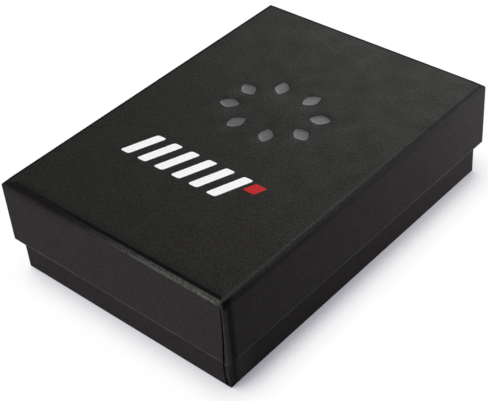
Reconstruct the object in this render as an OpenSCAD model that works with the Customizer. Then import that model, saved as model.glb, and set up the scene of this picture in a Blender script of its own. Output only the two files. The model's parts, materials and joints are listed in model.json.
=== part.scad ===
// Lift-off-lid gift box of wrapped board, with its card insert, folded leaflet and a flip-top petrol
// lighter lying in the insert. The box stands on Z = 0, centred on the origin, with its long side along Y.

/* [Box] */
// Width of the lid, outside
lid_w = 63; // [58:0.5:90]
// Length of the lid, outside
lid_l = 88.6; // [84:0.1:130]
// Height of the lid
lid_h = 15.7; // [12:0.1:22]
// Height of base left showing under the lid
reveal = 8.1; // [7:0.1:14]
// Thickness of the grey board
board_t = 0.8; // [0.6:0.1:1.2]
// Gap between two walls of the board where they meet at a corner
corner_gap = 0.1; // [0.05:0.05:0.3]
// Thickness of the wrapping paper
wrap_t = 0.2; // [0.1:0.05:0.3]
// Play between lid and base on each side
lid_play = 0.2; // [0.1:0.05:0.4]
// Radius of the wrapped vertical corners
corner_r = 0.6; // [0.4:0.1:1.2]
// Radius of the wrapped top and bottom edges
edge_r = 0.5; // [0.4:0.1:1.2]
// Depth that the wrap is turned in over a rim
turn_in = 10; // [4:0.5:11]
// Thickness of the floor and ceiling liner sheets
liner_t = 0.15; // [0.1:0.05:0.3]
// Gap left all round a liner sheet
liner_gap = 0.4; // [0.2:0.1:2]

/* [Insert] */
// Thickness of the insert card
card_t = 0.6; // [0.4:0.1:0.8]
// Play between the insert and the base walls on each side
insert_play = 0.3; // [0.2:0.05:0.6]
// How far the deck lies below the rim of the base
deck_drop = 5.2; // [4.5:0.1:7]
// Play round the lighter in its well
well_play = 0.6; // [0.4:0.1:1]
// Radius of the half-round thumb notches
notch_r = 5.5; // [4:0.5:7]
// Width of the flanges that glue the cradle under the deck
flange_w = 4.5; // [3:0.5:6]
// Side of the relief cut at each fold corner of the insert
fold_relief = 1.2; // [0.8:0.1:2]
// Thickness of the foam under the lighter
foam_t = 2; // [1:0.1:2.6]
// Gap between the foam and the card round it
foam_gap = 0.4; // [0.3:0.1:1]
// How far the lighter stands above the deck
proud = 4; // [2.5:0.1:4.2]

/* [Leaflet] */
// Room left beside the leaflet on each side
leaflet_side_play = 3; // [1:0.5:10]
// Room left at each end of the leaflet
leaflet_end_play = 2.8; // [1:0.1:12]
// Number of panels it is folded into
leaflet_panels = 4; // [2:1:6]
// Thickness of one panel
sheet_t = 0.25; // [0.1:0.05:0.3]
// Air between two panels
sheet_gap = 0.1; // [0.05:0.05:0.15]

/* [Lighter casing] */
// Width of the lighter
lighter_w = 38.1; // [37:0.1:39]
// Thickness of the lighter
lighter_t = 13; // [12.6:0.1:13.4]
// Height of the lighter with its lid shut
lighter_h = 57; // [56:0.1:60]
// Height of the lower half of the casing
split_z = 34.6; // [33.8:0.1:35.2]
// Gap between the two halves of the casing
split_gap = 0.2; // [0.1:0.05:0.3]
// Wall of the casing
case_t = 0.7; // [0.5:0.05:0.8]
// Radius of the casing's long edges
case_corner_r = 1.8; // [1.2:0.1:2.5]
// Radius of the casing's end edges
case_edge_r = 0.9; // [0.5:0.1:1.5]
// Rise of the crowned top of the casing
crown = 0.5; // [0.3:0.1:0.8]

/* [Lighter hinge] */
// Outer radius of the hinge knuckles
knuckle_r = 1.15; // [1:0.05:1.3]
// How far the hinge axis stands off the casing
hinge_out = 0.35; // [0.2:0.05:0.45]
// Radius of the hinge pin
pin_r = 0.5; // [0.4:0.05:0.6]
// Running clearance of pins and rivets
run_gap = 0.05; // [0.02:0.01:0.08]
// Number of knuckles
knuckles = 5; // [3:2:7]
// Gap between neighbouring knuckles
knuckle_gap = 0.1; // [0.05:0.05:0.2]
// Thickness of the hinge plates
leaf_t = 0.4; // [0.3:0.05:0.4]
// Height of each hinge plate
leaf_h = 5; // [3:0.5:8]

/* [Lighter inner unit] */
// Room for the hinge plate beside the inner unit
side_play = 0.55; // [0.45:0.05:0.8]
// Play between the inner unit and the casing's front and back
front_play = 0.2; // [0.1:0.05:0.3]
// How far the tank's top stands out of the lower half of the casing
tank_proud = 1.8; // [1:0.1:3]
// Sheet thickness of the inner unit
inner_wall = 0.5; // [0.4:0.05:0.6]
// Step from the tank's front and back to the chimney's
chimney_step = 0.7; // [0.6:0.1:1]
// Air between the chimney and the inside of the shut lid
chimney_play = 4.4; // [3:0.1:6]
// Corner radius of the chimney
chimney_r = 3.6; // [2:0.1:4]
// Width of each air slot in the chimney
slot_w = 1.7; // [1:0.1:2.2]
// Height of each air slot
slot_h = 7; // [4:0.1:8]
// Spacing of the air slots
slot_pitch = 4.4; // [3.5:0.1:4.6]
// Number of air slots in each side
slots = 3; // [1:2:3]

/* [Lighter striker] */
// Radius of the striker wheel over its teeth
wheel_r = 3.8; // [3.4:0.1:4]
// Width of the striker wheel
wheel_w = 5.4; // [4.5:0.1:5.8]
// Number of teeth on the wheel
wheel_teeth = 24; // [16:1:32]
// Depth of the teeth
tooth_d = 0.35; // [0.2:0.05:0.5]
// Radius of the wheel's rivet
rivet_r = 1; // [0.8:0.05:1.2]
// Gap between the wheel and each ear
wheel_gap = 0.3; // [0.2:0.05:0.5]
// How far the wheel keeps inside the tank's wall
wheel_inset = 1.05; // [0.5:0.05:1.5]
// Height of the wheel's underside over the tank
wheel_up = 1.6; // [1.2:0.1:2.5]
// Radius of the ears round the wheel's rivet
ear_r = 2.4; // [2:0.1:2.6]
// Outer radius of the flint tube
tube_r = 2; // [1.9:0.05:2.1]
// Wall of the flint tube
tube_wall = 0.6; // [0.5:0.05:0.7]
// Length of the flint
flint_l = 4; // [2:0.1:5]
// Gap between the flint and the wheel's teeth
flint_gap = 0.1; // [0.05:0.05:0.3]
// Length of the plunger's stem
plunger_stem = 3; // [1.5:0.1:5]
// Radius of the flint spring's wire
spring_wire_r = 0.14; // [0.1:0.01:0.18]
// Number of turns of the flint spring
spring_turns = 12; // [8:1:16]

/* [Lighter cam] */
// Thickness of the cam
cam_t = 2.4; // [1.5:0.1:2.8]
// Distance of the cam's pivot from the tank's side
cam_inset = 4.25; // [4:0.05:5]
// Distance of the cam's pivot from the chimney
cam_room = 3; // [2.8:0.1:3.5]
// Reach of the cam's finger above its pivot
cam_reach = 5.4; // [4.5:0.1:6]
// Height of the cam's pivot above the tank
cam_up = 2.6; // [2:0.1:3.2]
// How far the cam's heel reaches below the tank's top plate
cam_dip = 0.5; // [0.3:0.1:0.8]
// Radius of the cam's rivet
cam_pin_r = 0.5; // [0.4:0.05:0.6]
// Greatest swing of the cam in degrees
cam_swing = 25; // [10:1:25]
// Thickness of the cam's leaf spring
cam_spring_t = 0.3; // [0.2:0.05:0.4]

/* [Lighter filling] */
// Radius of the wick
wick_r = 1.4; // [1:0.1:1.6]
// Length of wick standing above the tank
wick_up = 6; // [4:0.5:9]
// Thickness of the felt pad
felt_t = 2.4; // [1.5:0.1:4]
// Gap left round the filling
fill_gap = 0.15; // [0.1:0.05:0.3]

/* [Hidden] */
$fn = 48;
eps = 0.01;
// Box
total_h = reveal + lid_h;
skin_t = wrap_t + board_t;
wall_t = skin_t + wrap_t;
base_h = total_h - skin_t;
base_w = lid_w - 2 * (wall_t + lid_play);
base_l = lid_l - 2 * (wall_t + lid_play);
well_floor_w = base_w - 2 * wall_t;
well_floor_l = base_l - 2 * wall_t;
floor_z = skin_t + liner_t;
// Insert
insert_w = well_floor_w - 2 * insert_play;
insert_l = well_floor_l - 2 * insert_play;
deck_z = base_h - deck_drop;
seat_z = deck_z + proud - lighter_t;
knuckle_proud = hinge_out + knuckle_r;
leaflet_w = insert_w - 2 * (card_t + leaflet_side_play);
leaflet_l = insert_l - 2 * (card_t + leaflet_end_play);
well_w = lighter_w + knuckle_proud + 2 * well_play;
well_l = lighter_h + 2 * well_play;
cradle_z = seat_z - foam_t - card_t;
// Lighter, standing up in its own frame: X is its width, Z its height, and its front faces -Y
hinge_x = -lighter_w / 2 - hinge_out;
hinge_z = split_z + split_gap / 2;
hinge_len = lighter_t - 2 * case_corner_r;
knuckle_l = (hinge_len - (knuckles - 1) * knuckle_gap) / knuckles;
inner_w = lighter_w - 2 * (case_t + side_play);
inner_t = lighter_t - 2 * (case_t + front_play);
tank_z = case_t;
tank_top = split_z + tank_proud;
tank_h = tank_top - tank_z;
plate_under = tank_top - inner_wall;
wheel_x = inner_w / 2 - inner_wall - wheel_inset - wheel_r;
wheel_z = tank_top + wheel_r + wheel_up;
ear_in = wheel_w / 2 + wheel_gap;
ear_out = ear_in + inner_wall;
cam_x = cam_inset - inner_w / 2;
chimney_left = cam_x + cam_room;
chimney_right = wheel_x - wheel_r - wheel_gap;
chimney_w = chimney_right - chimney_left;
chimney_x = (chimney_left + chimney_right) / 2;
chimney_t = inner_t - 2 * chimney_step;
chimney_h = lighter_h - crown - case_t - chimney_play - tank_top;
wick_x = chimney_x - 1;
tube_in = tube_r - tube_wall;
flint_r = tube_in - run_gap;
flint_top = wheel_z - wheel_r - flint_gap;
tube_top = tank_top + 0.8;
screw_head = 0.8;
screw_l = 4.5;
tube_z = tank_z + screw_head;
plunger_head = 1.4;
plunger_z = flint_top - flint_l - plunger_head;
spring_z = tube_z + screw_l;
cam_z = tank_top + cam_up;
cam_heel = cam_up + inner_wall + cam_dip;
cam_pin_gap = 0.1;
cam_lean = 16;
finger_r = 0.8;
hub_r = 1.5;
heel_w = 1.7;
cam_ear_in = cam_t / 2 + cam_pin_gap;
cam_ear_out = cam_ear_in + inner_wall;
spring_top = cam_z - cam_heel - 0.1;
fill_w = inner_w - 2 * (inner_wall + fill_gap);
fill_d = inner_t - 2 * (inner_wall + fill_gap);
fill_r = 1;
fill_top = spring_top - cam_spring_t - fill_gap;

// ---------- shared shapes ----------

// A rectangle centred on the origin with rounded corners
module round_rect(w, l, r) {
    square([w - 2 * r, l], center = true);
    square([w, l - 2 * r], center = true);
    for (x = [-1, 1], y = [-1, 1])
        translate([x * (w / 2 - r), y * (l / 2 - r)])
            circle(r);
}

// A block on Z = 0 with rounded upright edges and rounded edges at both ends
module soft_block(w, l, h, upright_r, end_r) {
    intersection() {
        linear_extrude(h)
            round_rect(w, l, upright_r);
        translate([0, l, h / 2])
            rotate([90, 0, 0])
                linear_extrude(2 * l)
                    round_rect(w, h, end_r);
        translate([-w, 0, h / 2])
            rotate([90, 0, 90])
                linear_extrude(2 * w)
                    round_rect(l, h, end_r);
    }
}

module plain_block(w, l, h) {
    translate([-w / 2, -l / 2, 0])
        cube([w, l, h]);
}

// A round bar along Y, centred
module bar(r, length) {
    rotate([90, 0, 0])
        cylinder(h = length, r = r, center = true);
}

// Lays the lighter on its back in the well, front face up and top towards +Y
module in_well() {
    translate([knuckle_proud / 2, -lighter_h / 2, seat_z + lighter_t / 2])
        rotate([-90, 0, 0])
            children();
}

// ---------- board box ----------

// A wrapped tray is a board tray and the paper round it: a and b are the outer width and length
module tray_outside(a, b, h) {
    soft_block(a, b, h, corner_r, edge_r);
}

module tray_core(a, b, h) {
    translate([0, 0, wrap_t])
        soft_block(a - 2 * wrap_t, b - 2 * wrap_t, h - 2 * wrap_t, corner_r - wrap_t, edge_r - wrap_t);
}

// The hollow of the board tray, open upwards
module tray_hollow(a, b, h) {
    translate([0, 0, skin_t])
        plain_block(a - 2 * skin_t, b - 2 * skin_t, h);
}

// The narrower mouth left between the turned-in paper
module tray_mouth(a, b, h) {
    translate([0, 0, h - turn_in])
        plain_block(a - 2 * wall_t, b - 2 * wall_t, 2 * turn_in);
}

// The flat panel of the grooved board, between its folds
module tray_panel(a, b, h) {
    intersection() {
        tray_core(a, b, h);
        plain_block(a, b, skin_t);
    }
}

// The four walls stand on the panel: the long ones run right through, the short ones fit between them
module tray_walls(a, b, h) {
    intersection() {
        tray_core(a, b, h);
        for (side = [-1, 1]) {
            translate([side * (a / 2 - wrap_t - board_t / 2), 0, skin_t])
                plain_block(board_t, b, h);
            translate([0, side * (b / 2 - wrap_t - board_t / 2), skin_t])
                plain_block(a - 2 * (skin_t + corner_gap), board_t, h);
        }
    }
}

module tray_wrap(a, b, h) {
    difference() {
        tray_outside(a, b, h);
        difference() {
            tray_core(a, b, h);
            tray_hollow(a, b, h);
        }
        tray_mouth(a, b, h);
        intersection() {
            tray_hollow(a, b, h);
            plain_block(a, b, h - turn_in);
        }
    }
}

// The lid is a shallower tray turned over
module as_lid() {
    translate([0, 0, total_h])
        mirror([0, 0, 1])
            children();
}

module base_floor_board() {
    color("#8c8579")
        tray_panel(base_w, base_l, base_h);
}

module base_wall_boards() {
    color("#8c8579")
        tray_walls(base_w, base_l, base_h);
}

// The paper round the base's walls, over their rim and turned in
module base_wrap() {
    color("#2a2829")
        difference() {
            tray_wrap(base_w, base_l, base_h);
            translate([0, 0, -eps])
                plain_block(lid_w, lid_l, wrap_t + eps);
        }
}

// The sheet of the same paper that covers the underside
module base_sole() {
    color("#2a2829")
        intersection() {
            tray_outside(base_w, base_l, base_h);
            plain_block(lid_w, lid_l, wrap_t);
        }
}

module base_liner() {
    color("#1f1e1e")
        translate([0, 0, skin_t])
            linear_extrude(liner_t)
                square([well_floor_w - 2 * liner_gap, well_floor_l - 2 * liner_gap], center = true);
}

module lid_top_board() {
    color("#8c8579")
        as_lid()
            tray_panel(lid_w, lid_l, lid_h);
}

module lid_wall_boards() {
    color("#8c8579")
        as_lid()
            tray_walls(lid_w, lid_l, lid_h);
}

module lid_wrap() {
    color("#2d2a2a")
        as_lid()
            tray_wrap(lid_w, lid_l, lid_h);
}

module lid_liner() {
    color("#1f1e1e")
        translate([0, 0, base_h - liner_t])
            linear_extrude(liner_t)
                square([well_floor_w - 2 * liner_gap, well_floor_l - 2 * liner_gap], center = true);
}

// ---------- insert ----------

module thumb_notches() {
    for (side = [-1, 1])
        translate([side * well_w / 2, 0, deck_z - 2 * card_t - eps])
            cylinder(h = 2 * card_t + 2 * eps, r = notch_r);
}

module platform_card() {
    skirt_h = deck_z - floor_z;
    color("#262425")
        difference() {
            translate([0, 0, floor_z])
                plain_block(insert_w, insert_l, skirt_h);
            translate([0, 0, floor_z - eps])
                plain_block(insert_w - 2 * card_t, insert_l - 2 * card_t, skirt_h - card_t + eps);
            for (x = [-1, 1], y = [-1, 1])
                translate([x * insert_w / 2, y * insert_l / 2, floor_z - eps])
                    plain_block(2 * fold_relief, 2 * fold_relief, skirt_h - card_t + eps);
            translate([0, 0, deck_z - card_t - eps])
                plain_block(well_w, well_l, card_t + 2 * eps);
            thumb_notches();
        }
}

module cradle_card() {
    top_z = deck_z - card_t;
    outer_w = well_w + 2 * card_t;
    color("#262425")
        difference() {
            union() {
                translate([0, 0, cradle_z])
                    plain_block(outer_w, well_l + 2 * card_t, top_z - cradle_z);
                translate([0, 0, top_z - card_t])
                    plain_block(outer_w + 2 * flange_w, well_l - 2 * flange_w, card_t);
            }
            translate([0, 0, cradle_z + card_t])
                plain_block(well_w, well_l, top_z);
            thumb_notches();
            translate([0, 0, top_z])
                rotate([0, 90, 0])
                    cylinder(h = outer_w + 2 * eps, r = notch_r, center = true);
        }
}

module foam_pad() {
    color("#3b3a3a")
        translate([0, 0, seat_z - foam_t])
            linear_extrude(foam_t)
                round_rect(well_w - 2 * foam_gap, well_l - 2 * foam_gap, 1.5);
}

// The leaflet is folded to and fro, with a round fold at alternate sides
module leaflet() {
    pitch = sheet_t + sheet_gap;
    fold_r = sheet_t + sheet_gap / 2;
    flat_w = leaflet_w - 2 * fold_r;
    color("#e9e6dd")
        translate([0, leaflet_l / 2, floor_z])
            rotate([90, 0, 0])
                linear_extrude(leaflet_l) {
                    for (i = [0 : leaflet_panels - 1])
                        translate([-flat_w / 2, i * pitch])
                            square([flat_w, sheet_t]);
                    for (i = [0 : leaflet_panels - 2])
                        mirror([i % 2, 0])
                            translate([flat_w / 2, i * pitch + fold_r])
                                difference() {
                                    circle(fold_r);
                                    circle(sheet_gap / 2);
                                    translate([-fold_r, 0])
                                        square(2 * fold_r, center = true);
                                }
                }
}

// ---------- lighter casing ----------

module case_outside() {
    crown_r = (pow(lighter_w / 2, 2) + pow(crown, 2)) / (2 * crown);
    intersection() {
        soft_block(lighter_w, lighter_t, lighter_h, case_corner_r, case_edge_r);
        translate([0, 0, lighter_h - crown_r])
            rotate([90, 0, 0])
                cylinder(h = 2 * lighter_t, r = crown_r, center = true, $fn = 256);
    }
}

module case_half(low_z, high_z, hollow_low, hollow_high) {
    difference() {
        intersection() {
            case_outside();
            translate([0, 0, low_z])
                plain_block(2 * lighter_w, 2 * lighter_t, high_z - low_z);
        }
        translate([0, 0, hollow_low])
            linear_extrude(hollow_high - hollow_low)
                round_rect(lighter_w - 2 * case_t, lighter_t - 2 * case_t, case_corner_r - case_t);
        hinge_notch();
    }
}

// The window in the casing's side that the knuckles and their webs pass through
module hinge_notch() {
    notch_h = 2 * (knuckle_r + knuckle_gap);
    notch_l = hinge_len + 2 * knuckle_gap;
    translate([hinge_x, 0, hinge_z])
        bar(notch_h / 2, notch_l);
    translate([hinge_x, -notch_l / 2, hinge_z - notch_h / 2])
        cube([hinge_out + case_t + eps, notch_l, notch_h]);
}

module case_bottom() {
    color("#c9c9c7")
        in_well()
            case_half(0, split_z, case_t, split_z + 1);
}

module case_lid() {
    color("#c9c9c7")
        in_well()
            case_half(split_z + split_gap, lighter_h, split_z, lighter_h - crown - case_t);
}

// Knuckles first, first + 2 and so on, with the plate that carries them inside the casing
module hinge_plate(first, side) {
    leaf_x = -lighter_w / 2 + case_t;
    leaf_z = side < 0 ? -leaf_h - knuckle_r / 2 : knuckle_r / 2;
    web_x = hinge_x + knuckle_r - 2 * leaf_t;
    difference() {
        union() {
            for (i = [first : 2 : knuckles - 1])
                translate([0, (i - (knuckles - 1) / 2) * (knuckle_l + knuckle_gap), hinge_z]) {
                    translate([hinge_x, 0, 0])
                        bar(knuckle_r, knuckle_l);
                    translate([web_x, -knuckle_l / 2, side < 0 ? -knuckle_r : 0])
                        cube([leaf_x + leaf_t - web_x, knuckle_l, knuckle_r]);
                }
            translate([leaf_x, -hinge_len / 2, hinge_z + leaf_z])
                cube([leaf_t, hinge_len, leaf_h]);
        }
        translate([hinge_x, 0, hinge_z])
            bar(pin_r + run_gap, hinge_len + 1);
    }
}

module hinge_plate_lower() {
    color("#b9b9b6")
        in_well()
            hinge_plate(0, -1);
}

module hinge_plate_upper() {
    color("#b9b9b6")
        in_well()
            hinge_plate(1, 1);
}

module hinge_pin() {
    color("#9c9c9a")
        in_well()
            translate([hinge_x, 0, hinge_z])
                bar(pin_r, hinge_len);
}

// ---------- lighter inner unit ----------

// An upright ear seen from the side: a foot on the tank and a round head about a pivot
module ear_outline(reach, rise, head_r) {
    translate([0, rise])
        circle(head_r);
    translate([-head_r, 0])
        square([2 * head_r, rise]);
    translate([-reach, 0])
        square([reach, rise]);
}

// A pair of ears of sheet at y = +-inside, flipped to open towards -X or +X
module ear_pair(x, inside, outside, reach, rise, head_r, hole_r) {
    for (side = [-1, 1])
        translate([x, side * (inside + outside) / 2, tank_top])
            rotate([90, 0, 0])
                linear_extrude(outside - inside, center = true)
                    difference() {
                        ear_outline(reach, rise, head_r);
                        translate([0, rise])
                            circle(hole_r);
                    }
}

module chimney() {
    ring_r = chimney_r - inner_wall;
    difference() {
        translate([chimney_x, 0, tank_top])
            linear_extrude(chimney_h)
                difference() {
                    round_rect(chimney_w, chimney_t, chimney_r);
                    round_rect(chimney_w - 2 * inner_wall, chimney_t - 2 * inner_wall, ring_r);
                }
        for (i = [0 : slots - 1])
            translate([chimney_x + (i - (slots - 1) / 2) * slot_pitch, 0, tank_top + chimney_h / 2])
                rotate([90, 0, 0])
                    linear_extrude(2 * chimney_t, center = true)
                        round_rect(slot_w, slot_h, slot_w / 2 - eps);
    }
}

// The slot in the tank's top plate through which the cam's heel swings
module heel_slot() {
    right = heel_w / 2 + cam_pin_gap;
    left = heel_w / 2 / cos(cam_swing) + (cam_up + inner_wall) * tan(cam_swing) + cam_pin_gap;
    translate([cam_x - left, -cam_ear_in, plate_under - 1])
        cube([left + right, 2 * cam_ear_in, 3]);
}

module tank_hollow() {
    round_rect(inner_w - 2 * inner_wall, inner_t - 2 * inner_wall, fill_r);
}

// The tank's wall, open at both ends
module inner_case() {
    color("#bdbcb8")
        in_well()
            translate([0, 0, tank_z])
                linear_extrude(tank_h)
                    difference() {
                        round_rect(inner_w, inner_t, fill_r + inner_wall);
                        tank_hollow();
                    }
}

// The plate welded into the top of the tank, with the chimney and the ears drawn up from it
module chimney_plate() {
    color("#bdbcb8")
        in_well() {
            difference() {
                translate([0, 0, plate_under])
                    linear_extrude(inner_wall)
                        tank_hollow();
                translate([wick_x, 0, plate_under - 1])
                    cylinder(h = 3, r = wick_r + run_gap);
                translate([wheel_x, 0, plate_under - 1])
                    cylinder(h = 3, r = tube_r + run_gap);
                heel_slot();
            }
            chimney();
            ear_pair(wheel_x, ear_in, ear_out, wheel_x - chimney_right + inner_wall,
                wheel_z - tank_top, ear_r, rivet_r + run_gap);
            mirror([1, 0, 0])
                ear_pair(-cam_x, cam_ear_in, cam_ear_out, chimney_left - cam_x + inner_wall,
                    cam_up, hub_r, cam_pin_r + run_gap);
        }
}

// ---------- lighter cam ----------

// The cam seen from the side, about its pivot: a hub, a leaning finger and a heel that rides the spring
module cam_outline() {
    difference() {
        union() {
            circle(hub_r);
            rotate(cam_lean) {
                translate([-finger_r, 0])
                    square([2 * finger_r, cam_reach - finger_r]);
                translate([0, cam_reach - finger_r])
                    circle(finger_r);
            }
            intersection() {
                circle(cam_heel);
                translate([-heel_w / 2, -cam_heel])
                    square([heel_w, cam_heel]);
            }
        }
        circle(cam_pin_r + run_gap);
    }
}

module cam() {
    color("#a9a8a4")
        in_well()
            translate([cam_x, 0, cam_z])
                rotate([90, 0, 0])
                    linear_extrude(cam_t, center = true)
                        cam_outline();
}

// A rivet along Y: its shank and the two heads formed outside a pair of ears
module rivet(r, ears, head_r, head_t) {
    bar(r, 2 * ears + 2 * head_t);
    for (side = [-1, 1])
        translate([0, side * (ears + head_t / 2), 0])
            bar(head_r, head_t);
}

module cam_rivet() {
    color("#8f8f8c")
        in_well()
            translate([cam_x, 0, cam_z])
                rivet(cam_pin_r, cam_ear_out, cam_pin_r * 1.8, 0.35);
}

module cam_spring() {
    left = cam_x - heel_w;
    right = wick_x - wick_r - 2;
    pad = 3;
    color("#c4c4c2")
        in_well() {
            translate([left, -cam_t / 2, spring_top - cam_spring_t])
                cube([right - left, cam_t, cam_spring_t]);
            translate([right - pad, -cam_t / 2, spring_top - cam_spring_t])
                cube([pad, cam_t, plate_under - spring_top + cam_spring_t]);
        }
}

// ---------- lighter striker ----------

// The toothed wheel seen from the side: each tooth has a steep and a slanting flank
module wheel_outline() {
    difference() {
        polygon([
            for (i = [0 : wheel_teeth - 1], k = [0, 1])
                let (a = 360 * (i + k * 0.25) / wheel_teeth, r = wheel_r - k * tooth_d)
                    [r * cos(a), r * sin(a)]
        ]);
        circle(rivet_r + run_gap);
    }
}

module flint_wheel() {
    color("#6b6a68")
        in_well()
            translate([wheel_x, 0, wheel_z])
                rotate([90, 0, 0])
                    linear_extrude(wheel_w, center = true)
                        wheel_outline();
}

module wheel_rivet() {
    color("#8f8f8c")
        in_well()
            translate([wheel_x, 0, wheel_z])
                rivet(rivet_r, ear_out, rivet_r * 1.6, 0.5);
}

module flint_tube() {
    color("#b5924c")
        in_well()
            translate([wheel_x, 0, tube_z])
                difference() {
                    cylinder(h = tube_top - tube_z, r = tube_r);
                    translate([0, 0, -eps])
                        cylinder(h = tube_top - tube_z + 2 * eps, r = tube_in);
                }
}

module flint() {
    color("#55524f")
        in_well()
            translate([wheel_x, 0, flint_top - flint_l])
                cylinder(h = flint_l, r = flint_r);
}

module flint_plunger() {
    color("#b5924c")
        in_well()
            translate([wheel_x, 0, plunger_z]) {
                cylinder(h = plunger_head, r = flint_r);
                translate([0, 0, -plunger_stem])
                    cylinder(h = plunger_stem, r = flint_r / 2);
            }
}

// A helical wire: each ring of points sits square to the helix
module helix(coil_r, wire_r, height, turns) {
    around = 10;
    sides = 6;
    steps = turns * around;
    points = [
        for (i = [0 : steps], k = [0 : sides - 1])
            let (a = 360 * i / around, b = 360 * k / sides, r = coil_r + wire_r * cos(b))
                [r * cos(a), r * sin(a), height * i / steps + wire_r * sin(b)]
    ];
    walls = [
        for (i = [0 : steps - 1], k = [0 : sides - 1])
            let (low = i * sides, high = low + sides, next = (k + 1) % sides)
                [low + k, high + k, high + next, low + next]
    ];
    first = [[for (k = [0 : sides - 1]) k]];
    last = [[for (k = [sides - 1 : -1 : 0]) steps * sides + k]];
    polyhedron(points, concat(walls, first, last));
}

module flint_spring() {
    low_z = spring_z + spring_wire_r;
    coil_r = (flint_r + flint_r / 2) / 2;
    color("#9a9a98")
        in_well()
            translate([wheel_x, 0, low_z])
                helix(coil_r, spring_wire_r, plunger_z - spring_wire_r - low_z, spring_turns);
}

module flint_screw() {
    color("#b5924c")
        in_well()
            translate([wheel_x, 0, tank_z])
                difference() {
                    union() {
                        cylinder(h = screw_head, r = tube_r + 0.4);
                        cylinder(h = screw_head + screw_l, r = flint_r);
                    }
                    translate([0, 0, -eps])
                        plain_block(2 * (tube_r + 1), 0.6, screw_head / 2);
                }
}

// ---------- lighter filling ----------

module wick() {
    tip = wick_r / 2;
    color("#e6e0d0")
        in_well()
            translate([wick_x, 0, tank_z + felt_t + 4]) {
                length = tank_h - felt_t - 4 + wick_up - tip;
                cylinder(h = length, r = wick_r);
                translate([0, 0, length])
                    cylinder(h = tip, r1 = wick_r, r2 = wick_r * 0.7);
            }
}

module packing() {
    low_z = tank_z + felt_t + fill_gap;
    color("#efece4")
        in_well()
            difference() {
                translate([0, 0, low_z])
                    linear_extrude(fill_top - low_z)
                        round_rect(fill_w, fill_d, fill_r);
                translate([wheel_x, 0, low_z - 1])
                    cylinder(h = tank_h, r = tube_r + run_gap);
                translate([wick_x, 0, tank_z + felt_t + 4])
                    cylinder(h = tank_h, r = wick_r + run_gap);
            }
}

module felt_pad() {
    color("#e4e0d6")
        in_well()
            difference() {
                translate([0, 0, tank_z])
                    linear_extrude(felt_t)
                        round_rect(fill_w, fill_d, fill_r);
                translate([wheel_x, 0, tank_z - 1])
                    cylinder(h = felt_t + 2, r = tube_r + 0.6);
            }
}

base_floor_board();
base_wall_boards();
base_wrap();
base_sole();
base_liner();
lid_top_board();
lid_wall_boards();
lid_wrap();
lid_liner();
platform_card();
cradle_card();
foam_pad();
leaflet();
case_bottom();
case_lid();
hinge_plate_lower();
hinge_plate_upper();
hinge_pin();
inner_case();
chimney_plate();
cam();
cam_rivet();
cam_spring();
flint_wheel();
wheel_rivet();
flint_tube();
flint();
flint_plunger();
flint_spring();
flint_screw();
wick();
packing();
felt_pad();
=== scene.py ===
"""Looks of a wrapped gift box with a lighter inside it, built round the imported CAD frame."""
import json
import math

import bmesh
import bpy
from mathutils import Matrix, Vector, noise
from mathutils.geometry import delaunay_2d_cdt


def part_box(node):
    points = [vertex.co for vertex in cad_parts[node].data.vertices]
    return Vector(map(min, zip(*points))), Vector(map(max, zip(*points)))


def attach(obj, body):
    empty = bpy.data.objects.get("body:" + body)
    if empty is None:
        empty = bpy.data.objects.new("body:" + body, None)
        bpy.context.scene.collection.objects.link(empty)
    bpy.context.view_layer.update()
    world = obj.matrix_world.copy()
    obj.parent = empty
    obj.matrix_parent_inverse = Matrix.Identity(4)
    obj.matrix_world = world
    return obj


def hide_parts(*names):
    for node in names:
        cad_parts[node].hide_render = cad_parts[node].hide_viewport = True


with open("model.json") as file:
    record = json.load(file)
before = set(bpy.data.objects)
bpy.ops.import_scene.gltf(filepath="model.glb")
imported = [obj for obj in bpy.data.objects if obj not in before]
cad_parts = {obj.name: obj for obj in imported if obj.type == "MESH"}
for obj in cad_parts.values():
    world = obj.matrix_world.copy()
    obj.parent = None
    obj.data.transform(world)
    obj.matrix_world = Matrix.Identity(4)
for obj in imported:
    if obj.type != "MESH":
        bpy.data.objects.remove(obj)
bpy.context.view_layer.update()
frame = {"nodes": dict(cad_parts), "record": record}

MM = 0.001

# In millimetres: how near points are merged when a plane is filled, and then count as the same
MERGE_WITHIN = 1e-5
SAME_WITHIN = 1e-4

# Where a mix node set to colours has its factor, its two colours and its result
MIX_COLOUR_INPUTS = (0, 6, 7)
MIX_COLOUR_OUTPUT = 2

# The view: from which side and how high the camera looks and how it is turned, in degrees, its
# distance and its shifts in widths of the lid, and how near and far it sees in metres
VIEW_AZIMUTH = 44.437
VIEW_ELEVATION = 39.14
VIEW_ROLL = -5.311
VIEW_DISTANCE = 4.5057
VIEW_ASIDE = -0.048
VIEW_ABOVE = 0.0588
VIEW_CLIP = (0.01, 20.0)
LENS_MM = 91.449
SENSOR_MM = 36.0

# The room: the side from which little light comes, and its light from the bright to the dark side
ROOM_DARK_SIDE = (0.8, -0.45, -0.25)
ROOM_LEVELS = (-0.2, 0.6, 0.54, 0.0)
ROOM_COLOUR = (0.97, 0.98, 1.0)

# The lamps, each with its azimuth and elevation in degrees, its distance and size in metres, and watts
LAMPS = (
    ("back", 199.5, 31.7, 0.266, 0.173, 0.245),
    ("side", 148.7, 9, 0.17, 0.05, 0.54),
    ("front", -18, 10, 0.9, 0.6, 15.6),
)

# The floor lies a hair above the box's underside, which is then seen whole from below
FLOOR_RISE_MM = 0.01
FLOOR_HALF_SIZE = 3.0
FLOOR_COLOUR = (0.8, 0.8, 0.8)

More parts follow.
